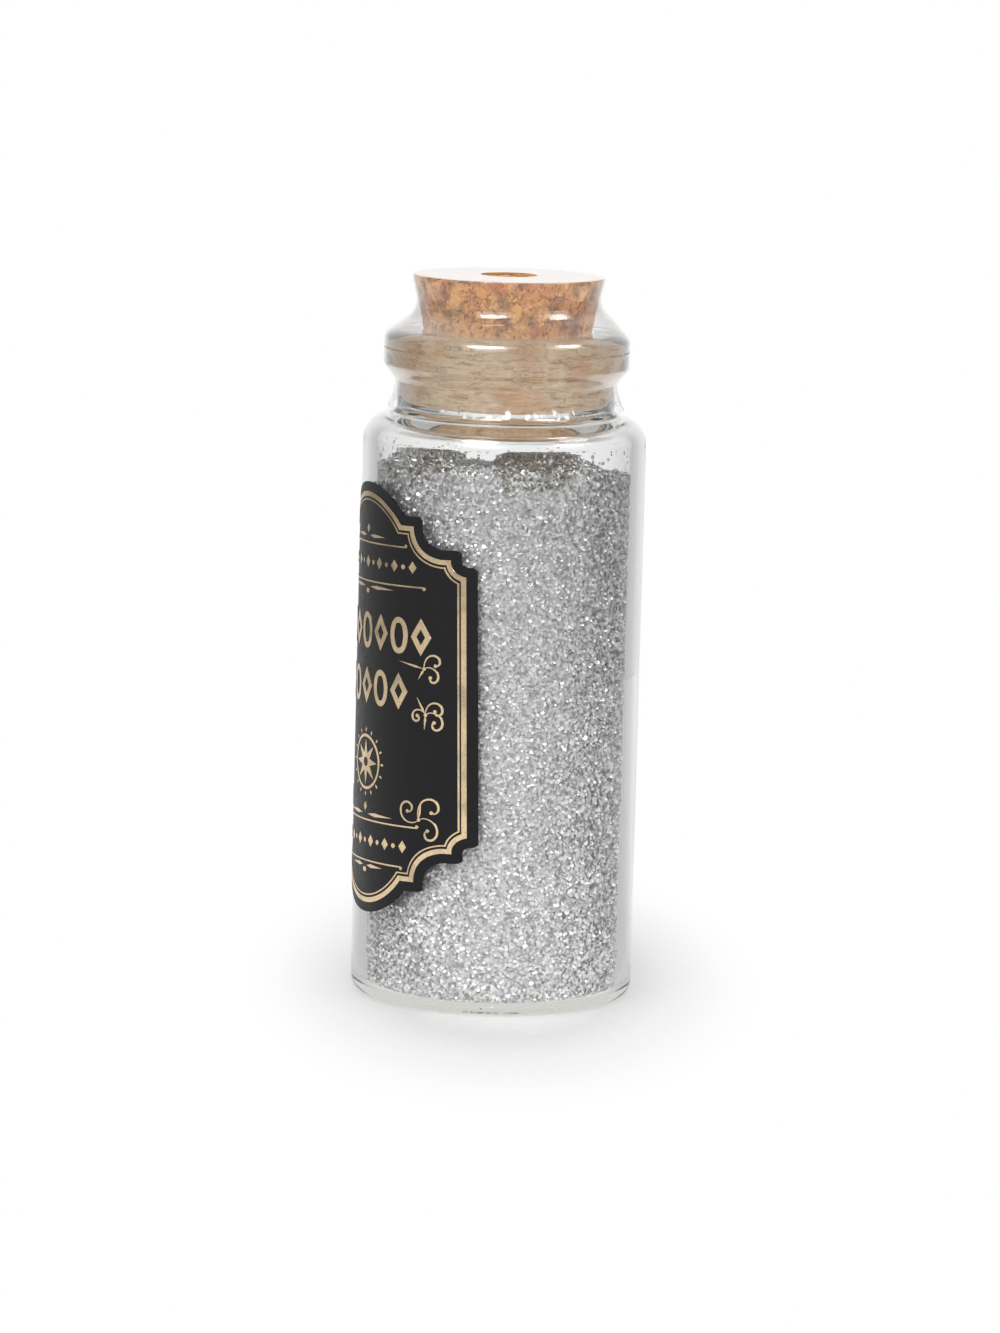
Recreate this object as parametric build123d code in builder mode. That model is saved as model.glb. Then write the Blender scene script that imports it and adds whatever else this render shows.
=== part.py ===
from build123d import *
import os
from math import cos, exp, pi, radians, sin, sqrt

# Corked glass vial of loose glitter, with a wrapped die-cut label and a clear shrink seal.
# Millimetres, +Z up, origin in the middle of the foot. The label faces -Y.

# Glass vial, with shares of the body radius, but for the shoulder round, a share of the shoulder's width
body_radius = 15.0
shoulder_height = 61.9
wall = 1.5
floor_thickness = 2.0
heel_round = 3.4
inner_heel_round = 2.2
foot_inner_share = 0.68
push_up = 0.7
shoulder_round_share = 0.886
shoulder_crown = 1.6
throat_drop = 1.6
throat_round = 0.5
neck_wall_share = 0.17
neck_rise = 0.4
neck_length = 3.35
neck_root_round = 0.6
lip_overhang_share = 0.0967
lip_slope = 1.6
lip_land = 3.75
lip_round = 0.8
lip_throat_round = 0.6
rim_round = 0.5

# Cork stopper, with radii as shares of the body radius
cork_top_share = 0.676
cork_bottom_share = 0.48
cork_length = 14.0
cork_proud = 5.8
cork_edge = 0.25
seat_gap = 0.03
seat_overrun = 0.6

# Clear shrink seal
film_thickness = 0.08
film_gap = 0.02
film_hole_radius = 3.0
film_leaves_cork = 2.6
film_flare_rise = 0.95
film_flare_out = 1.75
skirt_gap = 0.04
cut_below_rim = 1.85
cut_gap = 0.1
waist_gap = 0.12
hem_flare = 0.85
hem_above_root = 0.35

# Label sheet, sizes measured on the flat sheet
label_half_width = 15.2
label_half_height = 22.85
label_centre_height = 32.3
label_thickness = 0.12
label_lean = 1.6
paste_gap = 0.01

# Plaque outline: heights are shares of the half height, widths, radii and insets of the half width
arch_radius_share = 0.592
ledge_height_share = 0.8665
ledge_width_share = 0.595
upper_bite_share = 0.158
step_height_share = 0.722
step_width_share = 0.891
lower_bite_share = 0.049
corner_height_share = 0.6455
border_inset_share = 0.067
border_width_share = 0.034
hairline_inset_share = 0.117
hairline_width_share = 0.01

# Rounding of the sheet's corners, as a share of the shortest straight stretch beside one
corner_round_share = 0.62

# Gold print
foil_thickness = 0.04
foil_gap = 0.01
rule_width = 0.16
bar_height = 0.4
scroll_stroke = 0.24
bead_radius = 0.19
band_stroke = 0.6
band_row_height = 3.9
band_pitch = 3.0
band_gap = 0.45
small_row_height = 1.3
small_pitch = 1.32
lozenge_half_width = 0.36
lozenge_half_height = 0.5
star_radius = 3.7
star_ring_radius = 2.95
star_ring_stroke = 0.3
star_tip_radius = 2.45
star_waist_radius = 1.0

# Gold print, counts and places: heights are shares of the half height, other sizes of the half width
oval_points = 10
star_points = 8
volute_step = 40
volute_tightness = 1.75
bar_shares = (0.12, 0.4, 1)
rule_shares = [(0.722, 0.46, 1.5), (0.543, 0.618, -1.5), (-0.569, 0.56, 1.5), (-0.759, 0.42, -1.5)]
bar_row_shares = [(0.754, 0.25), (0.518, 0.35), (-0.54, 0.34), (-0.782, 0.23)]
lozenge_row_shares = [0.786, -0.508]
dot_row_shares = [0.497, -0.802]
big_row_shares = [(0.315, 7), (0.057, 5)]
small_row_shares = [(0.632, 0.56), (-0.664, 0.44)]
star_row_share = -0.3
upper_flourish_shares = (
    (0.62, 0.171),
    [(0.1, 205, -300), (0.09, 135, -330)],
    [(-0.228, 0.043), (-0.05, -0.078)],
)
middle_flourish_shares = (
    (0.63, -0.042),
    [(0.072, 15, 420), (0.095, 197, -380), (0.1, 140, -380)],
    [(-0.07, 0.12), (-0.01, -0.1)],
)
lower_flourish_shares = (
    (0.575, -0.53),
    [(0.115, -40, -430), (0.135, 215, -330), (0.12, 130, -380)],
    [(0.02, 0.13)],
)
flourish_shares = [upper_flourish_shares, middle_flourish_shares, lower_flourish_shares]

# Loose glitter: its top across the heap, as shares of the fill's radius and millimetres under the stopper
fill_gap = 0.06
heap_azimuth = 66.0
heap_line_shares = [
    (-1.0, 6.8),
    (-0.85, 6.2),
    (-0.45, 6.2),
    (-0.2, 7.5),
    (-0.06, 7.6),
    (0.1, 6.6),
    (0.5, 6.6),
    (0.8, 8.0),
    (1.0, 8.7),
]

overrun = 2.0

foot_inner_radius = foot_inner_share * body_radius
neck_wall = neck_wall_share * body_radius
lip_overhang = lip_overhang_share * body_radius
cork_top_radius = cork_top_share * body_radius
cork_bottom_radius = cork_bottom_share * body_radius
neck_root = shoulder_height + neck_rise
lip_foot = neck_root + neck_length
lip_top_of_slope = lip_foot + lip_slope
glass_height = lip_top_of_slope + lip_land
cork_top = glass_height + cork_proud
cork_bottom = cork_top - cork_length
cork_slope = (cork_top_radius - cork_bottom_radius) / cork_length
seat_end = cork_bottom - seat_overrun
inner_radius = body_radius - wall
inner_shoulder = min(shoulder_height - shoulder_crown, seat_end - throat_drop)
label_outer_radius = body_radius + paste_gap + label_thickness
print_inner_radius = label_outer_radius + foil_gap


def cork_radius(height):
    """Radius of the stopper's side at a height."""
    return cork_bottom_radius + cork_slope * (height - cork_bottom)


neck_radius = cork_radius(glass_height) + seat_gap + neck_wall
lip_radius = neck_radius + lip_overhang
shoulder_round = shoulder_round_share * (body_radius - neck_radius)

# Glass vial: one turned section, with a tapered seat for the stopper

with BuildPart() as glass_bottle:
    with BuildSketch(Plane.XZ):
        with BuildLine():
            ThreePointArc((0, push_up), (foot_inner_radius / 2, push_up * 3 / 4), (foot_inner_radius, 0))
            FilletPolyline(
                (foot_inner_radius, 0),
                (body_radius, 0),
                (body_radius, shoulder_height),
                (neck_radius, neck_root),
                (neck_radius, lip_foot),
                (lip_radius, lip_top_of_slope),
                (lip_radius, glass_height),
                (cork_radius(glass_height) + seat_gap, glass_height),
                (cork_radius(seat_end) + seat_gap, seat_end),
                (inner_radius, inner_shoulder),
                (inner_radius, floor_thickness),
                (0, floor_thickness),
                radius=[
                    heel_round,
                    shoulder_round,
                    neck_root_round,
                    lip_throat_round,
                    lip_round,
                    lip_round,
                    rim_round,
                    throat_round,
                    shoulder_round - wall / 2,
                    inner_heel_round,
                ],
            )
            Line((0, floor_thickness), (0, push_up))
        make_face()
    revolve(axis=Axis.Z)
glass_bottle.part.label = "glass_bottle"

# Stopper: a tapered plug pushed into the seat

with BuildPart() as cork_stopper:
    with BuildSketch(Plane.XZ):
        with BuildLine():
            Polyline(
                (0, cork_bottom),
                (cork_bottom_radius, cork_bottom),
                (cork_top_radius, cork_top),
                (0, cork_top),
                close=True,
            )
        make_face()
    revolve(axis=Axis.Z)
    chamfer(cork_stopper.faces().filter_by(GeomType.PLANE).edges(), cork_edge)
cork_stopper.part.label = "cork_stopper"

# Seal, upper part: a ring on top, the side that hugs the cork, the flare over the rim and a short skirt

film_offset = film_gap * sqrt(1 + cork_slope**2)
cap_leaves = cork_top - film_leaves_cork
cut_height = glass_height - cut_below_rim
skirt_radius = lip_radius + skirt_gap

with BuildPart() as seal_cap:
    with BuildSketch(Plane.XZ):
        with BuildLine():
            Polyline(
                (film_hole_radius, cork_top + film_gap),
                (cork_radius(cork_top) + film_offset, cork_top + film_gap),
                (cork_radius(cap_leaves) + film_offset, cap_leaves),
                (skirt_radius - film_flare_out, glass_height + film_flare_rise),
                (skirt_radius, glass_height - film_gap),
                (skirt_radius, cut_height),
            )
            offset(amount=film_thickness, side=Side.LEFT, kind=Kind.INTERSECTION)
        make_face()
    revolve(axis=Axis.Z)
seal_cap.part.label = "seal_cap"

# Seal, lower part: the skirt on the lip, drawn in under it, and the hem that flares over the shoulder

with BuildPart() as seal_collar:
    with BuildSketch(Plane.XZ):
        with BuildLine():
            Polyline(
                (skirt_radius, cut_height - cut_gap),
                (skirt_radius, lip_top_of_slope),
                (neck_radius + waist_gap, lip_foot),
                (neck_radius + hem_flare, neck_root + hem_above_root),
            )
            offset(amount=film_thickness, side=Side.LEFT, kind=Kind.INTERSECTION)
        make_face()
    revolve(axis=Axis.Z)
seal_collar.part.label = "seal_collar"

# Glitter: the settled heap, its top in low waves and lower at one side

fill_radius = inner_radius - fill_gap
fill_foot = floor_thickness + fill_gap
heap_turn = radians(heap_azimuth)
heap_side = Plane(
    origin=(0, 0, 0),
    x_dir=(cos(heap_turn), sin(heap_turn), 0),
    z_dir=(sin(heap_turn), -cos(heap_turn), 0),
)
heap_line = [(across * fill_radius, cork_bottom - depth) for across, depth in heap_line_shares]

with BuildPart() as glitter_fill:
    with BuildSketch(Plane.XY.offset(fill_foot)):
        Circle(fill_radius)
    extrude(amount=shoulder_height - floor_thickness)
    fillet(glitter_fill.edges().sort_by(Axis.Z)[0], inner_heel_round)
    with BuildSketch(heap_side):
        with BuildLine():
            crest = Spline(*heap_line)
            Polyline(
                crest @ 1,
                (body_radius, (crest @ 1).Y),
                (body_radius, 0),
                (-body_radius, 0),
                (-body_radius, (crest @ 0).Y),
                crest @ 0,
            )
        make_face()
    extrude(amount=body_radius, both=True, mode=Mode.INTERSECT)
glitter_fill.part.label = "glitter_fill"


def on_sheet(across, up):
    """Place a point of the flat label on the drawing plane that faces the wall."""
    lean = radians(label_lean)
    turned = across * cos(lean) - up * sin(lean)
    raised = across * sin(lean) + up * cos(lean)
    around = label_outer_radius * sin(turned / label_outer_radius)
    return around, label_centre_height + raised


def middle_of_arc(centre, radius, start, end):
    """Point half way along the short arc between two points of a circle."""
    across = start[0] + end[0] - 2 * centre[0]
    up = start[1] + end[1] - 2 * centre[1]
    length = sqrt(across**2 + up**2)
    return centre[0] + radius * across / length, centre[1] + radius * up / length


def corner_lines(start, corner, end, rounding):
    """Two square lines that meet at a corner, with an arc between them when there is a rounding."""
    if rounding == 0:
        return [(start, corner), (corner, end)]
    before = (corner[0] - rounding, corner[1])
    after = (corner[0], corner[1] - rounding)
    slack = rounding * (1 - sqrt(1 / 2))
    return [(start, before), (before, (corner[0] - slack, corner[1] - slack), after), (after, end)]


def plaque_quarter(inset, rounding):
    """Lines and arcs of the plaque's upper right quarter, drawn in by an inset all round."""
    side = label_half_width - inset
    ledge = ledge_height_share * label_half_height - inset
    step = step_height_share * label_half_height - inset
    arch = arch_radius_share * label_half_width - inset
    upper = upper_bite_share * label_half_width + inset
    lower = lower_bite_share * label_half_width + inset
    arch_centre = (0, label_half_height - arch - inset)
    upper_centre = (ledge_width_share * label_half_width + upper - inset, step + upper)
    lower_foot = corner_height_share * label_half_height - inset
    lower_centre = (step_width_share * label_half_width + lower - inset, lower_foot + lower)

    arch_end = (sqrt(arch**2 - (ledge - arch_centre[1]) ** 2), ledge)
    upper_drop = max(upper_centre[1] - ledge, 0)
    ledge_end = (upper_centre[0] - sqrt(upper**2 - upper_drop**2), ledge)
    upper_start = (ledge_end[0], min(ledge, upper_centre[1]))
    upper_end = (upper_centre[0], step)
    lower_drop = max(lower_centre[1] - step, 0)
    step_end = (lower_centre[0] - sqrt(lower**2 - lower_drop**2), step)
    lower_start = (step_end[0], min(step, lower_centre[1]))
    lower_aside = max(lower_centre[0] - side, 0)
    lower_end = (min(side, lower_centre[0]), lower_centre[1] - sqrt(lower**2 - lower_aside**2))

    arch_start = (0, label_half_height - inset)
    return [
        (arch_start, middle_of_arc(arch_centre, arch, arch_start, arch_end), arch_end),
        *corner_lines(arch_end, ledge_end, upper_start, rounding),
        (upper_start, middle_of_arc(upper_centre, upper, upper_start, upper_end), upper_end),
        *corner_lines(upper_end, step_end, lower_start, rounding),
        (lower_start, middle_of_arc(lower_centre, lower, lower_start, lower_end), lower_end),
        *corner_lines(lower_end, (side, lower_end[1]), (side, 0), rounding),
    ]


def plaque(inset, rounding=0, mode=Mode.ADD):
    """Fill the plaque's outline, drawn in by an inset all round."""
    with BuildLine(mode=Mode.PRIVATE) as outline:
        for across, up in [(1, 1), (-1, 1), (-1, -1), (1, -1)]:
            for stretch in plaque_quarter(inset, rounding):
                points = [on_sheet(across * x, up * y) for x, y in stretch]
                if len(points) == 3:
                    ThreePointArc(*points)
                elif stretch[0] != stretch[1]:
                    Line(*points)
    make_face(outline.edges(), mode=mode)


def lay(points, mode=Mode.ADD):
    """Fill an outline given by points of the flat label."""
    with BuildLine(mode=Mode.PRIVATE) as outline:
        Polyline(*[on_sheet(*point) for point in points], close=True)
    make_face(outline.edges(), mode=mode)


def layer(inner, outer):
    """A thin wall round the body, in which a printed or pasted layer lies."""
    with BuildPart(mode=Mode.PRIVATE) as ring:
        with BuildSketch(Plane.XY):
            Circle(outer)
            Circle(inner, mode=Mode.SUBTRACT)
        extrude(amount=glass_height)
    return ring.part


sheet_layer = layer(body_radius + paste_gap, label_outer_radius)
foil_layer = layer(print_inner_radius, print_inner_radius + foil_thickness)
reach = body_radius + overrun

# Label sheet: the plaque outline wrapped on the body, its corners rounded to fit their straight stretches

upper_bite = upper_bite_share * label_half_width
ledge_rise = (ledge_height_share - step_height_share) * label_half_height - upper_bite
side_run = (1 - step_width_share - lower_bite_share) * label_half_width
corner_round = corner_round_share * min(ledge_rise, side_run)

with BuildPart() as label_sheet:
    with BuildSketch(Plane.XZ):
        plaque(0, corner_round)
    extrude(amount=reach)
    add(sheet_layer, mode=Mode.INTERSECT)
label_sheet.part.label = "label_sheet"

# Gold border and hairline: the same outline drawn in, as two narrow rings

with BuildPart() as label_border:
    with BuildSketch(Plane.XZ):
        plaque(border_inset_share * label_half_width)
        plaque((border_inset_share + border_width_share) * label_half_width, mode=Mode.SUBTRACT)
    extrude(amount=reach)
    add(foil_layer, mode=Mode.INTERSECT)
label_border.part.label = "label_border"

with BuildPart() as label_hairline:
    with BuildSketch(Plane.XZ):
        plaque(hairline_inset_share * label_half_width)
        plaque((hairline_inset_share + hairline_width_share) * label_half_width, mode=Mode.SUBTRACT)
    extrude(amount=reach)
    add(foil_layer, mode=Mode.INTERSECT)
label_hairline.part.label = "label_hairline"


def lozenge(across, up, half_width, half_height, mode=Mode.ADD):
    """Fill a lozenge round a point."""
    left, right = across - half_width, across + half_width
    lay([(left, up), (across, up - half_height), (right, up), (across, up + half_height)], mode)


def oval(across, up, half_width, half_height, mode=Mode.ADD):
    """Fill an oval round a point."""
    turns = [2 * pi * side / oval_points for side in range(oval_points)]
    around = [on_sheet(across + half_width * cos(turn), up + half_height * sin(turn)) for turn in turns]
    with BuildLine(mode=Mode.PRIVATE) as outline:
        Spline(*around, periodic=True)
    make_face(outline.edges(), mode=mode)


def bead(point):
    """Fill a small round bead."""
    oval(*point, bead_radius, bead_radius)


def rule(up, half_length, rise):
    """A fine line across the label, with a drop that stands above or hangs below each end."""
    half = rule_width / 2
    low, high = up - half, up + half
    lay([(-half_length, low), (half_length, low), (half_length, high), (-half_length, high)])
    for side in (-half_length, half_length):
        bead((side, up + rise * half))


def bars(up, half_length):
    """Two tapered bars that point away from the middle of a rule."""
    half = bar_height / 2
    for side in (-1, 1):
        inner, thick, outer = (side * half_length * share for share in bar_shares)
        lay([(inner, up), (thick, up - half), (outer, up), (thick, up + half)])


def volute(root, radius, root_angle, turn):
    """A stroke that winds inward from its root and ends in a bead."""
    angle = radians(root_angle)
    centre = (root[0] - radius * cos(angle), root[1] - radius * sin(angle))
    steps = round(abs(turn) / volute_step)
    outer, inner = [], []
    for step in range(steps + 1):
        part = step / steps
        at = angle + radians(turn) * part
        reach_here = radius * exp(-volute_tightness * part)
        half = scroll_stroke * (1 + 2 * sin(pi * part)) / 6
        for stretch, away in ((outer, reach_here + half), (inner, reach_here - half)):
            stretch.append((centre[0] + away * cos(at), centre[1] + away * sin(at)))
    with BuildLine(mode=Mode.PRIVATE) as outline:
        outer_side = Spline(*[on_sheet(*point) for point in outer])
        inner_side = Spline(*[on_sheet(*point) for point in inner])
        Line(outer_side @ 0, inner_side @ 0)
        Line(outer_side @ 1, inner_side @ 1)
    make_face(outline.edges())
    end = angle + radians(turn)
    last = radius * exp(-volute_tightness)
    bead((centre[0] + last * cos(end), centre[1] + last * sin(end)))


def leaf(root, tip):
    """A thin pointed leaf from a root to its tip."""
    along = (tip[0] - root[0], tip[1] - root[1])
    length = sqrt(along[0] ** 2 + along[1] ** 2)
    aside = (-along[1] / length * scroll_stroke / 2, along[0] / length * scroll_stroke / 2)
    middle = (root[0] + along[0] / 3, root[1] + along[1] / 3)
    near = (middle[0] - aside[0], middle[1] - aside[1])
    far = (middle[0] + aside[0], middle[1] + aside[1])
    lay([root, near, tip, far])


def flourish(side, root_share, volute_shares, leaf_shares):
    """Volutes and a leaf that spring from one root, at the right or the left side of the label."""
    root = (side * root_share[0] * label_half_width, root_share[1] * label_half_height)
    bead(root)
    for radius_share, root_angle, turn in volute_shares:
        angle = root_angle if side > 0 else 180 - root_angle
        volute(root, radius_share * label_half_width, angle, side * turn)
    for across_share, up_share in leaf_shares:
        across, up = side * across_share * label_half_width, up_share * label_half_width
        leaf(root, (root[0] + across, root[1] + up))


def big_band(up, count):
    """A row of upright rings and lozenge frames by turns, centred on the label."""
    half_width = band_pitch / 2 - band_gap / 2
    half_height = band_row_height / 2
    for place in range(count):
        across = (place - (count - 1) / 2) * band_pitch
        if place % 2:
            oval(across, up, half_width, half_height)
            oval(across, up, half_width - band_stroke, half_height - band_stroke, Mode.SUBTRACT)
        else:
            lozenge(across, up, half_width, half_height)
            shrink = 1 - band_stroke * sqrt(half_width**2 + half_height**2) / (half_width * half_height)
            lozenge(across, up, half_width * shrink, half_height * shrink, Mode.SUBTRACT)


def small_band(up, half_length):
    """A row of small lozenges and beads by turns, centred on the label."""
    count = 2 * round(half_length / small_pitch) + 1
    for place in range(count):
        across = (place - (count - 1) / 2) * small_pitch
        if place % 2:
            oval(across, up, small_row_height / 5, small_row_height / 5)
        else:
            lozenge(across, up, small_pitch * 2 / 5, small_row_height / 2)


# Gold rules: four fine lines with drops at their ends, tapered bars, lozenges and dots in the middle

with BuildPart() as label_rules:
    with BuildSketch(Plane.XZ):
        for rule_share, length_share, rise in rule_shares:
            rule(rule_share * label_half_height, length_share * label_half_width, rise)
        for bar_share, length_share in bar_row_shares:
            bars(bar_share * label_half_height, length_share * label_half_width)
        for dot_share in lozenge_row_shares:
            lozenge(0, dot_share * label_half_height, lozenge_half_width, lozenge_half_height)
        for dot_share in dot_row_shares:
            oval(0, dot_share * label_half_height, bar_height, bar_height * 2 / 3)
    extrude(amount=reach)
    add(foil_layer, mode=Mode.INTERSECT)
label_rules.part.label = "label_rules"

# Gold scrolls: three flourishes at each side, each of volutes that spring from one root

with BuildPart() as label_scrolls:
    with BuildSketch(Plane.XZ):
        for shares in flourish_shares:
            flourish(-1, *shares)
            flourish(1, *shares)
    extrude(amount=reach)
    add(foil_layer, mode=Mode.INTERSECT)
label_scrolls.part.label = "label_scrolls"

# Gold bands: two tall rows and two small rows of plain geometric figures

with BuildPart() as label_bands:
    with BuildSketch(Plane.XZ):
        for row_share, count in big_row_shares:
            big_band(row_share * label_half_height, count)
        for row_share, length_share in small_row_shares:
            small_band(row_share * label_half_height, length_share * label_half_width)
    extrude(amount=reach)
    add(foil_layer, mode=Mode.INTERSECT)
label_bands.part.label = "label_bands"

# Gold star: eight points in a ring, with short rays round it

star_height = star_row_share * label_half_height

with BuildPart() as label_star:
    with BuildSketch(Plane.XZ):
        oval(0, star_height, star_ring_radius, star_ring_radius)
        bore = star_ring_radius - star_ring_stroke
        oval(0, star_height, bore, bore, Mode.SUBTRACT)
        tips = []
        for corner in range(2 * star_points):
            length = star_tip_radius if corner % 2 == 0 else star_waist_radius
            turn = pi * corner / star_points
            tips.append((length * sin(turn), star_height + length * cos(turn)))
        lay(tips)
        oval(0, star_height, star_waist_radius / 2, star_waist_radius / 2, Mode.SUBTRACT)
        for ray in range(2 * star_points):
            turn = pi * ray / star_points
            middle = (star_radius + star_ring_radius + star_ring_stroke / 2) / 2
            half = (star_radius - star_ring_radius - star_ring_stroke / 2) / 2
            thick = star_ring_stroke / 2
            ray_points = []
            for along, aside in [(-half, 0), (0, thick), (half, 0), (0, -thick)]:
                out = middle + along
                ray_across = out * sin(turn) + aside * cos(turn)
                ray_points.append((ray_across, star_height + out * cos(turn) - aside * sin(turn)))
            lay(ray_points)
    extrude(amount=reach)
    add(foil_layer, mode=Mode.INTERSECT)
label_star.part.label = "label_star"

os.makedirs("parts", exist_ok=True)
pieces = [
    glass_bottle,
    cork_stopper,
    seal_cap,
    seal_collar,
    glitter_fill,
    label_sheet,
    label_border,
    label_hairline,
    label_rules,
    label_scrolls,
    label_bands,
    label_star,
]
for piece in pieces:
    export_step(piece.part, "parts/" + piece.part.label + ".step")
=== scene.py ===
import math

import bpy
import numpy as np
from mathutils import Matrix, Vector


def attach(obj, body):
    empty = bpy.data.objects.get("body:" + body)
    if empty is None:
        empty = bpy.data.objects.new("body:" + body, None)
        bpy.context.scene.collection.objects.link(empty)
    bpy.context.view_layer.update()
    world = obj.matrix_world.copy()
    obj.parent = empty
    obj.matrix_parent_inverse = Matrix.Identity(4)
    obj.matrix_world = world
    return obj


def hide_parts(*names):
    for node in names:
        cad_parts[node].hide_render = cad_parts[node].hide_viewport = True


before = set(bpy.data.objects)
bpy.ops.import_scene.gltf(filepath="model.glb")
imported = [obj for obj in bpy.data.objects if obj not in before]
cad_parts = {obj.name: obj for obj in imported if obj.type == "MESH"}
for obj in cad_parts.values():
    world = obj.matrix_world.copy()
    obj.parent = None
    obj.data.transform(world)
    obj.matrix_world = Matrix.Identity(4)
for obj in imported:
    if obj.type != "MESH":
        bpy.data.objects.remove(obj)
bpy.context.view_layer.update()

# Corked glass vial of loose glitter with a wrapped label and a clear shrink seal.
# Sizes in this script are in millimetres unless a name says otherwise.

MM = 0.001
LATTICE_SIDE = 32
random = np.random.default_rng(41)
LATTICE = random.random((LATTICE_SIDE, LATTICE_SIDE, LATTICE_SIDE)) * 2 - 1

# Camera, as fitted to the photograph
CAMERA_AZIMUTH = 66.0
CAMERA_ELEVATION = 8.067
CAMERA_ROLL = 1.52
CAMERA_DISTANCE = 642.6
AIM_HEIGHT = 39.0
LENS = 217.25
SENSOR = 36.0
SHIFT = (0.0003, -0.03702)
CAMERA_TURN = math.radians(CAMERA_AZIMUTH)
CAMERA_RIGHT = np.array([math.cos(CAMERA_TURN), math.sin(CAMERA_TURN)])
CAMERA_WAY = np.array([math.sin(CAMERA_TURN), -math.cos(CAMERA_TURN)])

# Turned skins start and end this close to the axis
NEAR_AXIS = 0.05

# Glass: radii and heights, then the outline from under the foot over the lip to the floor inside,
# as radius, height and rounding
BODY_RADIUS = 15.0
INNER_RADIUS = 13.5
FLOOR_THICKNESS = 0.8
SHOULDER_HEIGHT = 61.9
NECK_ROOT = 62.3
NECK_RADIUS = 11.5
LIP_FOOT = 65.65
LIP_SLOPE_TOP = 67.25
LIP_RADIUS = 12.95
RIM_HEIGHT = 71.0
THROAT_TOP_RADIUS = 8.95
THROAT_FOOT_RADIUS = 7.1
THROAT_FOOT = 62.2
INNER_SHOULDER = 60.3
INNER_ROUND = 1.6
INNER_TURN = 59.0
INNER_HEEL = 1.1
GLASS_OUTLINE = [
    (0.02, 0.3, 0),
    (5.1, 0.22, 0),
    (10.2, 0.0, 1.2),
    (BODY_RADIUS, 0.0, 1.5),
    (BODY_RADIUS, SHOULDER_HEIGHT, 3.1),
    (NECK_RADIUS, NECK_ROOT, 0.6),
    (NECK_RADIUS, LIP_FOOT, 0.6),
    (LIP_RADIUS, LIP_SLOPE_TOP, 0.8),
    (LIP_RADIUS, RIM_HEIGHT, 1.2),
    (THROAT_TOP_RADIUS, RIM_HEIGHT, 0.5),
    (THROAT_FOOT_RADIUS, THROAT_FOOT, 0.5),
    (INNER_RADIUS, INNER_SHOULDER, INNER_ROUND),
    (INNER_RADIUS, FLOOR_THICKNESS, INNER_HEEL),
    (0.02, FLOOR_THICKNESS, 0),
]
GLASS_SEGMENTS = 256
GLASS_STEP = 1.5

# Cork: its relief fades where it is seated, and there it meets the glass with no air between
CORK_TOP = 76.8
CORK_BOTTOM = 62.8
CORK_TOP_RADIUS = 10.14
CORK_BOTTOM_RADIUS = 7.2
CORK_OUTLINE = [
    (NEAR_AXIS, CORK_BOTTOM, 0),
    (CORK_BOTTOM_RADIUS, CORK_BOTTOM, 0.4),
    (CORK_TOP_RADIUS, CORK_TOP, 0.25),
    (NEAR_AXIS, CORK_TOP, 0),
]
CORK_SEGMENTS = 480
CORK_STEP = 0.18
SEAT_FADE = (0.7, 0.3)
SEAT_OVERLAP = 0.08
SIDE_BAND = (0.6, 0.2)
GRAIN_DEPTH = 0.05
FINE_GRAIN_DEPTH = 0.04
PIT_DEPTH = 0.45

# Film: radius and height of its stations, with the depth of its wrinkles
FILM_COLUMNS = 540
CAP_ROWS = 120
COLLAR_ROWS = 70
FILM_LIFT = 0.06
CAP_LINE = [
    (3.0, CORK_TOP + FILM_LIFT),
    (5.5, CORK_TOP + FILM_LIFT),
    (8.0, CORK_TOP + FILM_LIFT),
    (9.9, CORK_TOP + FILM_LIFT),
    (10.16, CORK_TOP + 0.02),
    (10.2, CORK_TOP - 0.25),
]
CAP_EDGE = (13.03, 69.17)
CAP_WRINKLE = 0.006
CAP_TOP_WRINKLE = 0.02
COLLAR_LINE = [
    (13.02, 69.03, 0.0),
    (13.02, 68.2, 0.0),
    (13.02, 67.3, 0.0),
    (12.6, 66.75, 0.02),
    (12.05, 66.1, 0.03),
    (11.75, 65.6, 0.03),
    (11.75, 65.1, 0.04),
    (11.9, 64.4, 0.07),
    (12.1, 63.7, 0.13),
    (12.3, 63.2, 0.2),
]
HEM_RADIUS = 12.45
HEM_HEIGHT = 62.75
HEM_WAVE = 0.1
HEM_WRINKLE = 0.27

# Film from the cork out over the lip: angles in degrees, and the slack on one side of the lip
FLARE_START = 74.5
FLARE_TILT = 0.3
FLARE_RADIUS = 2.6
FLARE_ANGLES = range(0, 60, 8)
LIP_FILM_RADIUS = 13.05
LIP_FILM_CENTRE = 69.8
LIP_FILM_ROUND = 1.3
LIP_ANGLES = range(48, 7, -8)
SLACK_TURN = CAMERA_AZIMUTH - 102
SLACK_FOCUS = 13.7
SLACK_OUT = 0.095
SLACK_DROP = 0.57
SLACK_ROUND = 0.9

# Glitter: the heap, then the flakes on it, all named by side of the camera
FILL_RADIUS = 13.36
FILL_COLUMNS = 200
FILL_STEP = 0.5
HEAP_STRAIGHT = 50.0
HEAP_INSET = 0.16
HEAP_SINK = 0.06
HEAP_UNDER_FLAKES = 0.3
HEAP_WALL_RINGS = 12
HEAP_TOP_RINGS = 30
HEAP_TOP_INSET = 0.9
RIPPLE = 0.12
FLAKE_RADIUS = 0.18
FLAKE_LIFT = 0.12
WALL_CLEARANCE = 0.04
FLOOR_CLEARANCE = 0.03
WALL_FLAKES = 38000
WALL_LENGTH_OVER = 9.5
WALL_DEPTH = 0.14
TOP_FLAKES = 9000
CLINGING_FLAKES = 150
CLINGING_RADIUS = 13.42
CLINGING_REACH = 1.6
CLINGING_TOP = 59.6

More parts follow.
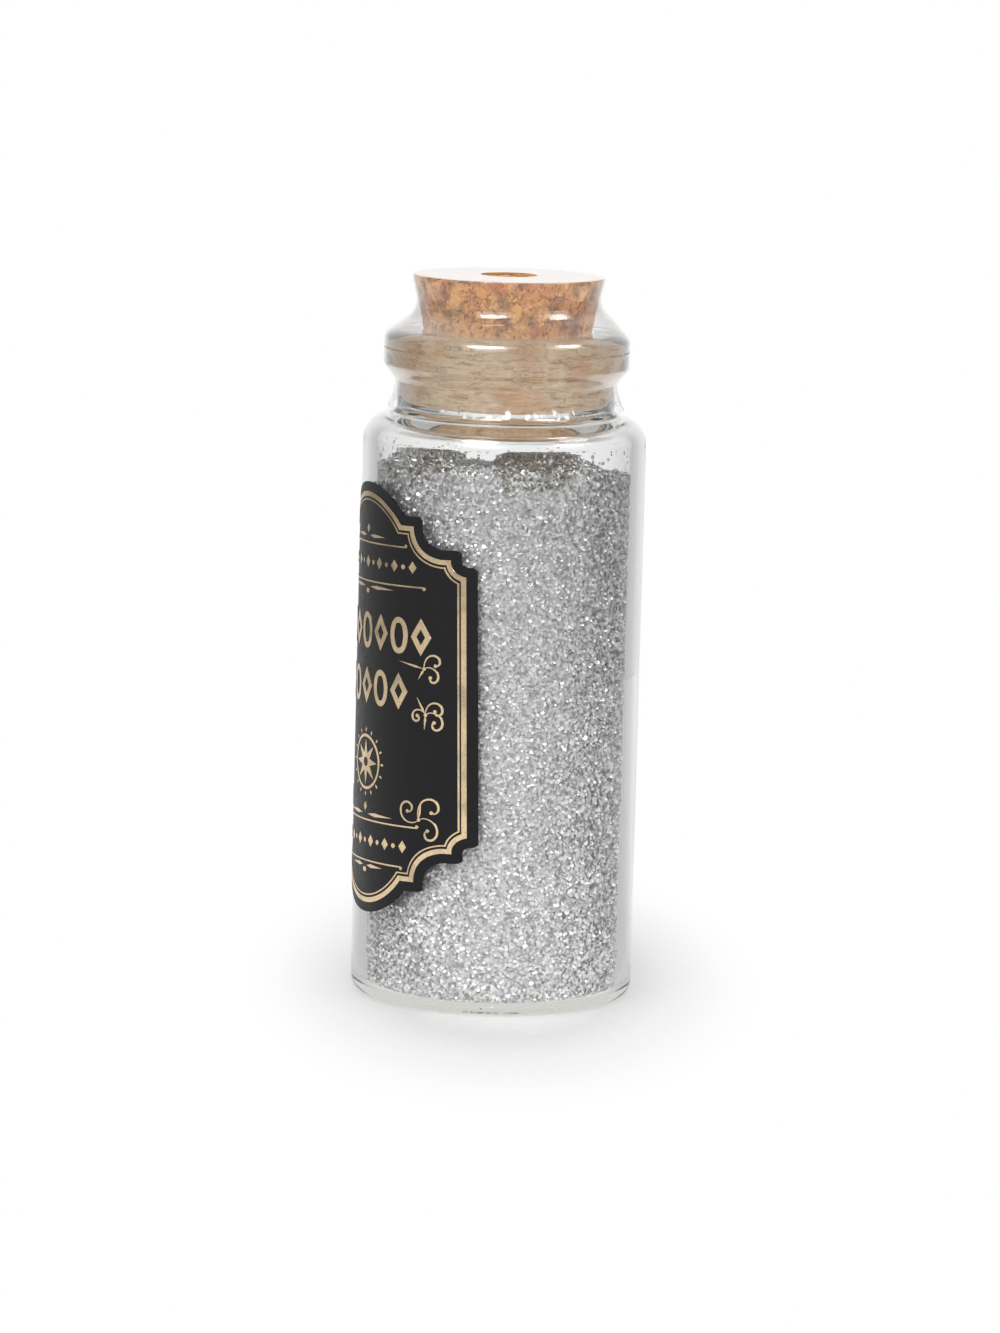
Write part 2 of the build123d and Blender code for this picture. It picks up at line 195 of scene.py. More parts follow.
# Depth of the heap's top under the cork, by share of the radius towards the camera's right
HEAP_FRONT = [
    (-1.0, 6.0),
    (-0.9, 5.6),
    (-0.5, 5.4),
    (-0.1, 5.2),
    (0.0, 5.3),
    (0.1, 5.5),
    (0.5, 5.3),
    (0.7, 5.3),
    (0.86, 5.7),
    (1.0, 6.8),
]
HEAP_MIDDLE = [
    (-1.0, 6.4),
    (-0.9, 5.8),
    (-0.5, 5.7),
    (-0.3, 6.2),
    (-0.1, 6.2),
    (0.05, 5.4),
    (0.5, 5.3),
    (0.6, 5.9),
    (1.0, 7.2),
]
HEAP_BACK = [
    (-1.0, 6.6),
    (-0.9, 6.0),
    (-0.8, 5.7),
    (-0.45, 5.7),
    (-0.36, 6.6),
    (-0.3, 7.3),
    (-0.1, 7.5),
    (-0.02, 6.6),
    (0.04, 5.6),
    (0.5, 5.4),
    (0.56, 6.4),
    (0.7, 6.8),
    (0.86, 7.4),
    (1.0, 8.2),
]

# How deep the flakes with painted shade, a darker copy of the glitter for the cork's shadow, lie under the
# heap's top edge, by the same share
PAINTED_SHADE_DEPTHS = [
    (-0.66, 0),
    (-0.6, 0.6),
    (-0.46, 0.6),
    (-0.4, 0),
    (-0.06, 0),
    (0.0, 1.7),
    (0.46, 1.7),
    (0.56, 0),
]

# Floor and room: half widths of the painted soft shadow, its middle, and brightness by share of its reach.
# The room's tones run from the side of the camera to the side behind the object.
FLOOR_RADIUS = 240.0
FLOOR_SIDES = 96
SHADE_WIDTH = 30.0
SHADE_LENGTH = 74.0
SHADE_CENTRE = (1.2, 9.0)
SHADE_TONES = [
    (0.35, 0.78),
    (0.48, 0.79),
    (0.55, 0.84),
    (0.61, 0.88),
    (0.73, 0.94),
    (0.81, 0.975),
    (0.93, 1.0),
]
# Painted shadow ring on the paper near the object, as (share of reach, brightness)
PAINTED_SHADOW_RING = [(0.33, 1.0), (0.46, 0.86), (0.62, 1.0)]
ROOM_TONES = [(0.0, 1.0), (0.25, 0.95), (0.5, 0.55), (0.85, 0.55), (0.93, 0.68), (0.97, 0.92), (0.99, 1.0)]
OVERHEAD = 0.95
# Painted glow on the floor under the foot, standing for light carried by the glass, and the radii over which
# it fades
GUIDED_LIGHT = (0.7, 0.7, 0.66, 1.0)
GUIDED_REACH = (14.7, 13.4)

# Lamps: name, azimuth from the camera's, elevation, distance, width, height, radiance, gloss only
LAMPS = [
    ("softbox_left", -22, 46, 450, 300, 200, 1.9, False),
    ("softbox_right", 66, 42, 450, 240, 200, 1.7, False),
    ("glint_left", -25, 50, 440, 200, 160, 9.0, True),
    ("glint_right", 77, 50, 440, 180, 140, 7.0, True),
]

WHITE = (1.0, 1.0, 1.0, 1.0)


def srgb(red, green, blue):
    """A colour as seen on screen, from 0 to 255, as the linear colour that a shader takes."""
    linear = []
    for part in (red, green, blue):
        share = part / 255
        linear.append(share / 12.92 if share <= 0.04045 else ((share + 0.055) / 1.055) ** 2.4)
    return (*linear, 1.0)


def grey(value):
    """A grey of one linear value."""
    return (value, value, value, 1.0)


def smooth_noise(points, scale):
    """Values from -1 to 1 that vary smoothly from point to point."""
    place = points / scale
    low = np.floor(place).astype(int)
    part = place - low
    part = part * part * (3 - 2 * part)
    total = np.zeros(points.shape[:-1])
    for corner in np.ndindex(2, 2, 2):
        chosen = np.array(corner)
        weight = np.prod(np.where(chosen, part, 1 - part), axis=-1)
        cell = (low + chosen) % LATTICE_SIDE
        total += weight * LATTICE[cell[..., 0], cell[..., 1], cell[..., 2]]
    return total


def smooth_step(value, low, high):
    """From 0 below low to 1 above high, with an easy turn at both ends."""
    part = np.clip((value - low) / (high - low), 0, 1)
    return part * part * (3 - 2 * part)


# Shaders


class Shader:
    """The node tree of one material or world, with short ways to add and join its nodes."""

    def __init__(self, owner):
        owner.use_nodes = True
        self.tree = owner.node_tree
        self.tree.nodes.clear()

    def add(self, kind, inputs=None, **settings):
        """A node with its settings made; each input takes a value, or the socket that feeds it."""
        node = self.tree.nodes.new("ShaderNode" + kind)
        for name, value in settings.items():
            setattr(node, name, value)
        for name, value in (inputs or {}).items():
            if isinstance(value, bpy.types.NodeSocket):
                self.tree.links.new(value, node.inputs[name])
            else:
                node.inputs[name].default_value = value
        return node

    def place(self, stretch=(1, 1, 1)):
        """Places on the object in millimetres, stretched along its axes."""
        spot = self.add("TexCoord").outputs["Object"]
        scale = [part / MM for part in stretch]
        return self.add("Mapping", {"Vector": spot, "Scale": scale}).outputs["Vector"]

    def height(self, place):
        """The height part of a place or a direction."""
        return self.add("SeparateXYZ", {"Vector": place}).outputs["Z"]

    def noise(self, place, scale, detail=3.0, roughness=0.5):
        """Soft noise, scale times a millimetre."""
        inputs = {"Vector": place, "Scale": scale, "Detail": detail, "Roughness": roughness}
        return self.add("TexNoise", inputs).outputs["Fac"]

    def edges(self, place, scale):
        """Distance to the nearest edge between cells, scale times a millimetre."""
        inputs = {"Vector": place, "Scale": scale}
        return self.add("TexVoronoi", inputs, feature="DISTANCE_TO_EDGE").outputs["Distance"]

    def cells(self, place, scale):
        """Two random values of each cell, scale times a millimetre."""
        colour = self.add("TexVoronoi", {"Vector": place, "Scale": scale}).outputs["Color"]
        parts = self.add("SeparateColor", {"Color": colour})
        return parts.outputs["Red"], parts.outputs["Green"]

    def warped(self, place, warp, amount):
        """Places moved about by a noise's colour."""
        inputs = {0: warp, 1: (amount, amount, amount), 2: place}
        return self.add("VectorMath", inputs, operation="MULTIPLY_ADD").outputs["Vector"]

    def length(self, place):
        """How far a place is from the middle."""
        return self.add("VectorMath", {0: place}, operation="LENGTH").outputs["Value"]

    def ramp(self, factor, stops):
        """Colours along a factor, from (place, colour) stops."""
        node = self.add("ValToRGB", {"Fac": factor})
        elements = node.color_ramp.elements
        while len(elements) < len(stops):
            elements.new(0.5)
        for element, (place, colour) in zip(elements, stops):
            element.position = place
            element.color = colour
        return node.outputs["Color"]

    def tones(self, factor, stops):
        """Greys along a factor, from (place, value) stops."""
        return self.ramp(factor, [(place, grey(tone)) for place, tone in stops])

    def span(self, value, low, high, start=0.0, end=1.0, easy=False):
        """A value from start at low to end at high."""
        inputs = {"Value": value, "From Min": low, "From Max": high, "To Min": start, "To Max": end}
        kind = "SMOOTHSTEP" if easy else "LINEAR"
        return self.add("MapRange", inputs, interpolation_type=kind).outputs["Result"]

    def math(self, operation, first, second):
        """Two values put together by an operation."""
        return self.add("Math", {0: first, 1: second}, operation=operation).outputs["Value"]

    def mix(self, factor, first, second, blend="MIX"):
        """Two colours mixed by a factor."""
        inputs = {0: factor, 6: first, 7: second}
        return self.add("Mix", inputs, data_type="RGBA", blend_type=blend).outputs[2]

    def multiply(self, first, second):
        """One colour darkened by another."""
        return self.mix(1.0, first, second, "MULTIPLY")

    def bump(self, height, strength, distance):
        """A normal bent by a height, with its distance in metres."""
        inputs = {"Height": height, "Strength": strength, "Distance": distance}
        return self.add("Bump", inputs).outputs["Normal"]

    def bsdf(self, kind, inputs):
        """The surface of one shading node."""
        return self.add("Bsdf" + kind, inputs).outputs["BSDF"]

    def glow(self, colour):
        """A surface that shines with a colour."""
        return self.add("Emission", {"Color": colour, "Strength": 1.0}).outputs["Emission"]

    def path(self, kind):
        """Whether a ray is of one kind."""
        return self.add("LightPath").outputs[kind]

    def blend(self, factor, first, second):
        """Two surfaces mixed by a factor."""
        return self.add("MixShader", {"Fac": factor, 1: first, 2: second}).outputs["Shader"]

    def through_for_lamps(self, surface):
        """A surface that lets shadow rays through, so that lamps light what is inside."""
        clear = self.bsdf("Transparent", {"Color": (0.97, 0.98, 0.97, 1.0)})
        return self.blend(self.path("Is Shadow Ray"), surface, clear)

    def room_tone(self, direction):
        """Brightness of the room in a level direction: white behind and in front, greyer at the sides."""
        away = (-CAMERA_WAY[0], -CAMERA_WAY[1], 0.0)
        toward = self.add("VectorMath", {0: direction, 1: away}, operation="DOT_PRODUCT").outputs["Value"]
        return self.tones(self.span(toward, -1.0, 1.0), ROOM_TONES)


def new_material(name):
    """An empty material and its shader."""
    material = bpy.data.materials.new(name)
    return material, Shader(material)


def glass_material():
    """Clear glass with faint waves in its skin."""
    material, shader = new_material("clear_glass")
    waves = shader.noise(shader.place((1, 1, 0.35)), 0.12, 2.0)
    glass = shader.bsdf(
        "Principled",
        {
            "Base Color": (0.985, 0.99, 0.985, 1.0),
            "Roughness": 0.0,
            "IOR": 1.47,
            "Transmission Weight": 1.0,
            "Normal": shader.bump(waves, 0.05, 0.0004),
        },
    )
    tint = shader.add("VolumeAbsorption", {"Color": (0.3, 0.32, 0.3, 1.0), "Density": 46.0}).outputs["Volume"]
    shader.add("OutputMaterial", {"Surface": shader.through_for_lamps(glass), "Volume": tint})
    return material


def film_material():
    """Thin clear film: gloss and haze that grow at a slant, faint smears, and clear for the rest."""
    material, shader = new_material("shrink_film")
    smear = shader.noise(shader.place(), 0.7, 4.0, 0.6)
    skin = shader.bump(smear, 0.1, 0.0003)
    clear = shader.bsdf("Transparent", {"Color": grey(0.98)})
    gloss = shader.bsdf("Glossy", {"Color": WHITE, "Roughness": 0.1, "Normal": skin})
    slant = shader.add("LayerWeight", {"Blend": 0.5, "Normal": skin}).outputs["Facing"]
    steep = shader.math("POWER", slant, 3.0)
    shiny = shader.blend(shader.span(steep, 0.0, 1.0, 0.075, 1.0), clear, gloss)
    haze = shader.tones(smear, [(0.35, 0.0), (0.75, 0.05)])
    milky = shader.math("MAXIMUM", haze, shader.math("MULTIPLY", steep, 0.4))
    milk = shader.bsdf("Diffuse", {"Color": grey(0.95)})
    hazy = shader.blend(milky, shiny, milk)
    shader.add("OutputMaterial", {"Surface": shader.through_for_lamps(hazy)})
    return material


def cork_material():
    """Pressed cork: grains of several browns, dark seams and pores, and level streaks lower down."""
    material, shader = new_material("cork")
    place = shader.place()
    layered = shader.place((0.35, 0.35, 2.4))
    warp_inputs = {"Vector": place, "Scale": 0.8, "Detail": 5.0, "Roughness": 0.65}
    warp = shader.add("TexNoise", warp_inputs).outputs["Color"]
    warped = shader.warped(place, warp, 2.3)

    grains, _ = shader.cells(warped, 0.6)
    brown = shader.ramp(
        grains,
        [
            (0.0, srgb(182, 112, 56)),
            (0.3, srgb(210, 144, 80)),
            (0.65, srgb(228, 170, 102)),
            (1.0, srgb(198, 126, 68)),
        ],
    )
    seams = shader.tones(shader.edges(warped, 0.6), [(0.0, 1.0), (0.03, 0.6), (0.09, 0.0)])
    broken = shader.tones(shader.noise(place, 0.9), [(0.4, 0.0), (0.58, 0.95)])
    browned = shader.mix(shader.multiply(seams, broken), brown, srgb(112, 58, 28))
    stain = shader.tones(shader.noise(place, 0.42, 4.0, 0.6), [(0.36, 0.5), (0.5, 1.0), (0.66, 1.12)])
    stained = shader.multiply(browned, stain)
    fine = shader.noise(place, 3.2, 6.0, 0.7)
    speckles = shader.tones(fine, [(0.28, 0.4), (0.47, 1.0), (0.7, 1.25)])
    speckled = shader.mix(0.85, stained, speckles, "MULTIPLY")
    pores = shader.tones(shader.noise(place, 1.4, 4.0, 0.75), [(0.36, 0.9), (0.42, 0.0)])
    pored = shader.mix(pores, speckled, srgb(84, 46, 28))

    fibres = shader.warped(layered, warp, 1.3)
    pale = shader.ramp(
        shader.noise(fibres, 0.9, 5.0, 0.7),
        [
            (0.32, srgb(136, 94, 58)),
            (0.43, srgb(234, 190, 144)),
            (0.56, srgb(255, 232, 196)),
            (0.72, srgb(228, 184, 136)),
        ],
    )
    patches = shader.tones(shader.noise(place, 0.26), [(0.44, 0.0), (0.62, 0.65)])
    warmed = shader.mix(patches, pale, srgb(228, 164, 104))
    splits = shader.tones(shader.edges(fibres, 0.5), [(0.0, 0.6), (0.04, 0.0)])
    streaked = shader.mix(shader.multiply(splits, broken), warmed, srgb(88, 52, 28))
    low_share = shader.span(shader.height(place), RIM_HEIGHT + 0.3, RIM_HEIGHT - 0.7, 0.0, 0.85)

    cork = {
        "Base Color": shader.mix(low_share, pored, streaked),
        "Roughness": 0.8,
        "IOR": 1.4,
        "Normal": shader.bump(fine, 0.5, 0.0003),
    }
    shader.add("OutputMaterial", {"Surface": shader.bsdf("Principled", cork)})
    return material


def glitter_material():
    """Bright metal flakes, each of its own grey, with painted shade that darkens them a little towards the
    top.
    """
    material, shader = new_material("silver_glitter")
    shade = shader.ramp(
        shader.add("NewGeometry").outputs["Random Per Island"],
        [
            (0.0, srgb(210, 208, 208)),
            (0.2, srgb(234, 232, 232)),
            (0.5, srgb(246, 244, 244)),
            (0.8, srgb(253, 252, 252)),
            (0.94, srgb(255, 255, 255)),
        ],
    )
    # Painted shade: the flakes darken with height, standing in for less light at the top than near the floor.
    painted_top_shade = shader.span(shader.height(shader.place()), 5.0, 56.0, 1.0, 0.58)
    metal = {"Base Color": shader.multiply(shade, painted_top_shade), "Metallic": 1.0, "Roughness": 0.5}
    shader.add("OutputMaterial", {"Surface": shader.bsdf("Principled", metal)})
    return material


def shaded_flake_material():
    """Darker copy of the glitter flakes, painted shade for flakes in the shadow under the cork, each of its
    own warm grey.
    """
    material, shader = new_material("glitter_top")
    shade = shader.ramp(
        shader.add("NewGeometry").outputs["Random Per Island"],
        [
            (0.0, srgb(96, 90, 84)),
            (0.5, srgb(150, 144, 136)),
            (0.85, srgb(186, 180, 172)),
            (0.97, srgb(240, 236, 230)),
        ],
    )
    metal = {"Base Color": shade, "Metallic": 0.9, "Roughness": 0.4}
    shader.add("OutputMaterial", {"Surface": shader.bsdf("Principled", metal)})
    return material


def heap_material():
    """Deeper glitter between the flakes at the wall, with a painted glow along its underside standing for
    light carried by the glass floor.
    """
    material, shader = new_material("glitter_heap")
    place = shader.place()
    red, green = shader.cells(place, 3.6)
    shade = shader.ramp(
        red,
        [
            (0.0, srgb(150, 150, 154)),
            (0.5, srgb(196, 196, 200)),
            (0.85, srgb(226, 226, 229)),
            (1.0, srgb(246, 246, 249)),
        ],
    )
    height = shader.height(place)
    # Painted glow: the heap's underside shines, standing for light carried under it by the glass floor.
    painted_underglow = shader.span(height, FLOOR_THICKNESS + 0.02, FLOOR_THICKNESS - 0.04, 0.0, 0.5)
    metal = {
        "Base Color": shade,
        "Metallic": 0.85,
        "Roughness": 0.35,
        "Normal": shader.bump(green, 0.8, 0.0002),
        "Emission Color": shade,
        "Emission Strength": painted_underglow,
    }
    shader.add("OutputMaterial", {"Surface": shader.bsdf("Principled", metal)})
    return material


def label_material():
    """Black satin paper with a faint mottle."""
    material, shader = new_material("black_label")
    mottle = shader.noise(shader.place(), 1.3, 5.0, 0.6)
    paper = {
        "Base Color": shader.ramp(mottle, [(0.3, srgb(8, 8, 11)), (0.7, srgb(16, 16, 20))]),
        "Roughness": shader.tones(mottle, [(0.3, 0.38), (0.7, 0.5)]),
        "IOR": 1.4,
        "Specular IOR Level": 0.35,
        "Normal": shader.bump(mottle, 0.12, 0.0001),
    }
    shader.add("OutputMaterial", {"Surface": shader.bsdf("Principled", paper)})
    return material


def gold_material():
    """Pale printed gold with a fine grain and faded patches, and painted shade that darkens it towards the
    top.
    """
    material, shader = new_material("gold_foil")
    place = shader.place()
    grain = shader.noise(place, 4.5, 3.0, 0.6)
    patches = shader.noise(place, 0.3, 2.0)
    gold = shader.ramp(grain, [(0.3, srgb(212, 184, 144)), (0.7, srgb(240, 218, 182))])
    # Painted shade: the gold darkens towards the top, standing in for darker reflections there.
    shaded_gold = shader.multiply(gold, shader.span(shader.height(place), 26.0, 46.0, 1.0, 0.72))
    faded = shader.tones(patches, [(0.34, 0.7), (0.5, 0.98), (0.62, 1.0)])
    foil = {
        "Base Color": shader.multiply(shaded_gold, faded),
        "Metallic": 1.0,
        "Roughness": shader.tones(patches, [(0.35, 0.18), (0.65, 0.36)]),
        "Normal": shader.bump(grain, 0.15, 0.00005),
    }
    shader.add("OutputMaterial", {"Surface": shader.bsdf("Principled", foil)})
    return material


def floor_material():
    """White seamless paper with a faint tooth and a painted shadow ring, plain white glow further out with a
    painted soft shadow, mostly glow where seen through the glass, and a painted glow under the foot for light
    carried by the glass.
    """
    material, shader = new_material("white_floor")
    place = shader.place()
    inputs = {"Vector": place, "Angle": -CAMERA_TURN}
    turned_place = shader.add("VectorRotate", inputs, rotation_type="Z_AXIS").outputs["Vector"]
    inputs = {
        "Vector": turned_place,
        "Scale": (1 / SHADE_WIDTH, 1 / SHADE_LENGTH, 1.0),
        "Location": (-SHADE_CENTRE[0] / SHADE_WIDTH, -SHADE_CENTRE[1] / SHADE_LENGTH, 0.0),
    }
    distance = shader.length(shader.add("Mapping", inputs).outputs["Vector"])

    white = shader.tones(shader.noise(place, 0.5, 2.0), [(0.3, 0.86), (0.7, 0.9)])
    # Painted shadow: the paper is darkened in a ring round the object.
    paper = shader.bsdf("Diffuse", {"Color": shader.multiply(white, shader.tones(distance, PAINTED_SHADOW_RING))})

    seen_through = shader.path("Is Transmission Ray")
    level = shader.add("VectorMath", {0: place}, operation="NORMALIZE").outputs["Vector"]
    # Painted soft shadow: the plain white glow is darkened round the object.
    painted_soft_shadow = shader.tones(distance, SHADE_TONES)
    plain = shader.glow(shader.mix(seen_through, painted_soft_shadow, shader.room_tone(level)))
    far = shader.span(distance, 0.16, 0.87, easy=True)
    # Painted light: seen through the glass, the floor is mostly glow with the room's tones, so it shows no
    # shadow there.
    share = shader.math("MAXIMUM", far, shader.math("MULTIPLY", seen_through, 0.75))
    # Painted glow under the foot, standing for light carried out by the glass.
    under = shader.span(shader.length(place), *GUIDED_REACH, 0.0, 0.8)
    lit = shader.blend(under, shader.blend(share, paper, plain), shader.glow(GUIDED_LIGHT))
    shader.add("OutputMaterial", {"Surface": lit})
    return material


# Mesh helpers


def add_mesh(name, vertices, faces, material, smooth=True):
    """A mesh object from places in millimetres."""
    mesh = bpy.data.meshes.new(name)
    mesh.from_pydata((np.asarray(vertices) * MM).tolist(), [], faces)
    mesh.materials.append(material)
    mesh.polygons.foreach_set("use_smooth", [smooth] * len(mesh.polygons))
    mesh.update()
    made = bpy.data.objects.new(name, mesh)
    bpy.context.scene.collection.objects.link(made)
    return made


def directions(columns):
    """The turn of each column round the Z axis."""
    return np.linspace(0, 2 * math.pi, columns, endpoint=False)


def on_ring(radii, heights):
    """Places in millimetres of a grid of radii and heights."""
    turn = directions(radii.shape[1])
    return np.stack([radii * np.cos(turn), radii * np.sin(turn), heights], axis=-1)


def turned(name, radii, heights, material, closed=False):
    """A skin round the Z axis, from a grid of radii and heights with one row per ring."""
    rows, columns = radii.shape
    faces = []
    for low in range(0, (rows - 1) * columns, columns):
        high = low + columns
        for column in range(columns):
            after = (column + 1) % columns
            faces.append((low + column, low + after, high + after, high + column))
    if closed:
        faces.append(tuple(range(columns - 1, -1, -1)))
        faces.append(tuple(range((rows - 1) * columns, rows * columns)))
    return add_mesh(name, on_ring(radii, heights).reshape(-1, 3), faces, material)


def rounded(corners, steps=9):
    """A line of (radius, height) points through corners given as (radius, height, rounding)."""
    line = []
    for place, (radius, height, rounding) in enumerate(corners):
        corner = np.array([radius, height])
        if rounding == 0 or place in (0, len(corners) - 1):
            line.append(corner)
            continue
        before = np.array(corners[place - 1][:2]) - corner
        after = np.array(corners[place + 1][:2]) - corner
        before /= np.linalg.norm(before)
        after /= np.linalg.norm(after)
        half = math.acos(float(np.clip(before @ after, -1, 1))) / 2
        middle = (before + after) / np.linalg.norm(before + after)
        centre = corner + middle * rounding / math.sin(half)
        start = corner + before * rounding / math.tan(half) - centre
        end = corner + after * rounding / math.tan(half) - centre
        spread = math.acos(float(np.clip(start @ end / rounding**2, -1, 1)))
        for step in range(steps):
            part = step / (steps - 1)
            turned_part = start * math.sin((1 - part) * spread) + end * math.sin(part * spread)
            line.append(centre + turned_part / math.sin(spread))
    return np.array(line)


def along(line, gap):
    """More points on a line, so that no two are further apart than a gap."""
    out = [line[0]]
    for start, end in zip(line[:-1], line[1:]):
        count = max(1, math.ceil(np.linalg.norm(end - start) / gap))
        for step in range(1, count + 1):
            out.append(start + (end - start) * step / count)
    return np.array(out)


def spun(line, columns):
    """Grids of the radii and heights of a line that is turned round the axis."""
    return np.repeat(line[:, :1], columns, axis=1), np.repeat(line[:, 1:], columns, axis=1)


# Glass vial

glass_line = along(rounded(GLASS_OUTLINE), GLASS_STEP)
vial = turned("vial_glass", *spun(glass_line, GLASS_SEGMENTS), glass_material(), True)
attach(vial, "bottle")
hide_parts("glass_bottle")

# Cork stopper


def cork_radius(height):
    """Radius of the stopper's side at a height."""
    slope = (CORK_TOP_RADIUS - CORK_BOTTOM_RADIUS) / (CORK_TOP - CORK_BOTTOM)
    return CORK_BOTTOM_RADIUS + slope * (height - CORK_BOTTOM)


cork_radii, cork_heights = spun(along(rounded(CORK_OUTLINE, 5), CORK_STEP), CORK_SEGMENTS)
cork_places = on_ring(cork_radii, cork_heights)
seated = 1 - smooth_step(cork_heights, *(RIM_HEIGHT - part for part in SEAT_FADE))
side = smooth_step(cork_radii, *(cork_radius(cork_heights) - part for part in SIDE_BAND))
grains = smooth_noise(cork_places, 0.7)
fine_grains = smooth_noise(cork_places, 0.3)
pits = smooth_step(smooth_noise(cork_places, 1.1) + 0.3 * smooth_noise(cork_places, 0.35), 0.52, 0.8)
relief = GRAIN_DEPTH + GRAIN_DEPTH * grains + FINE_GRAIN_DEPTH * fine_grains + PIT_DEPTH * pits
relief = relief * (1 - seated)
cork_radii = cork_radii - side * relief + side * seated * SEAT_OVERLAP
cork_heights = cork_heights - (1 - side) * np.where(cork_heights > CORK_TOP - 1, relief, 0)
cork = turned("cork_plug", cork_radii, cork_heights, cork_material(), True)
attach(cork, "stopper")
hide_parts("cork_stopper")

# Shrink seal

film = film_material()


def ridges(seed_height, count):
    """Sharp folds of the film round the axis, up to 1."""
    turn = directions(FILM_COLUMNS)
    circle = np.stack([np.cos(turn), np.sin(turn), np.full(FILM_COLUMNS, seed_height)], axis=-1)
    return 1 - np.abs(smooth_noise(circle * count, 1.0)) * 2.2


def film_skin(name, stations, wrinkle, rows):
    """A film round the axis through stations of (radii, heights), with wrinkles of a given depth at each."""
    radii = np.array([np.broadcast_to(station[0], FILM_COLUMNS) for station in stations], float)
    heights = np.array([np.broadcast_to(station[1], FILM_COLUMNS) for station in stations], float)
    steps = np.linspace(0, len(stations) - 1, rows)
    low = np.minimum(steps.astype(int), len(stations) - 2)
    part = (steps - low)[:, None]
    smooth_radii = radii[low] * (1 - part) + radii[low + 1] * part
    smooth_heights = heights[low] * (1 - part) + heights[low + 1] * part
    depth = np.interp(steps, range(len(stations)), wrinkle)[:, None]
    places = on_ring(smooth_radii, smooth_heights)
    pleats = ridges(3.7, 7.0) * 0.6 + ridges(8.1, 15.0) * 0.4
    crumple = smooth_noise(places, 0.8) * 0.6 + smooth_noise(places, 1.9) * 0.6
    smooth_radii = smooth_radii + depth * (pleats * 0.7 + crumple)
    return turned(name, smooth_radii[::-1], smooth_heights[::-1], film)


turn = directions(FILM_COLUMNS)
toward_left = np.cos(turn - math.radians(CAMERA_AZIMUTH + 180))
leave = FLARE_START - FLARE_TILT * toward_left
slack = np.exp(SLACK_FOCUS * (np.cos(turn - math.radians(SLACK_TURN)) - 1))
lip_round = LIP_FILM_ROUND + SLACK_ROUND * slack


def flare(angle):
    """A station of the film where it leaves the cork, by how far it has turned outward."""
    bent = math.radians(angle)
    start = cork_radius(leave) + FILM_LIFT
    return start + FLARE_RADIUS * (1 - math.cos(bent)), leave - FLARE_RADIUS * math.sin(bent)


def over_lip(angle):
    """A station of the film where it bends over the lip, by how far its skin faces up."""
    bent = math.radians(angle)
    radius = LIP_FILM_RADIUS + SLACK_OUT * slack - lip_round * (1 - math.cos(bent))
    return radius, LIP_FILM_CENTRE - SLACK_DROP * slack + lip_round * math.sin(bent)


cap_stations = [*CAP_LINE, *map(flare, FLARE_ANGLES), *map(over_lip, LIP_ANGLES), CAP_EDGE]
cap_wrinkle = [CAP_TOP_WRINKLE if place in (1, 2) else CAP_WRINKLE for place in range(len(cap_stations))]
cap = film_skin("seal_upper_film", cap_stations, cap_wrinkle, CAP_ROWS)
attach(cap, "stopper")
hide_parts("seal_cap")

hem = HEM_HEIGHT + HEM_WAVE * ridges(5.5, 4.0)
collar_stations = [(radius, height) for radius, height, _ in COLLAR_LINE] + [(HEM_RADIUS, hem)]
collar_wrinkle = [depth for _, _, depth in COLLAR_LINE] + [HEM_WRINKLE]
collar = film_skin("seal_lower_film", collar_stations, collar_wrinkle, COLLAR_ROWS)
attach(collar, "bottle")
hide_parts("seal_collar")

# Glitter


def fill_height(x, y):
    """Height of the top of the glitter heap, where it has come to rest, over a place."""
    sideways = (x * CAMERA_RIGHT[0] + y * CAMERA_RIGHT[1]) / FILL_RADIUS
    forward = (x * CAMERA_WAY[0] + y * CAMERA_WAY[1]) / FILL_RADIUS
    front, middle, back = (np.interp(sideways, *zip(*line)) for line in (HEAP_FRONT, HEAP_MIDDLE, HEAP_BACK))
    reach = np.sqrt(np.maximum(1 - sideways**2, 0.02))
    share = np.clip(forward / reach, -1, 1)
    depth = np.where(share > 0, middle + (front - middle) * share**2, middle - (back - middle) * share)
    flat = np.stack([x, y, np.zeros_like(x)], axis=-1)
    ripples = RIPPLE * smooth_noise(flat, 2.6) + RIPPLE * smooth_noise(flat, 0.9)
    return CORK_BOTTOM - depth + ripples


def painted_shade_depth(sideways):
    """How deep the flakes with painted shade lie under the heap's top edge, by sideways share."""
    return np.interp(sideways, *zip(*PAINTED_SHADE_DEPTHS))


def inner_reach(height):
    """Radius of the glass inside at a height, up to where its shoulder closes in."""
    over = np.clip(height - INNER_TURN, 0, INNER_ROUND - 0.5)
    return INNER_RADIUS - INNER_ROUND + np.sqrt(INNER_ROUND**2 - over**2)


def fill_outline(radius, floor, heel):
    """A line across the floor, round the heel and up the wall."""
    corners = [(NEAR_AXIS, floor, 0), (radius, floor, heel), (radius, HEAP_STRAIGHT, 0)]
    return along(rounded(corners, 7), FILL_STEP)


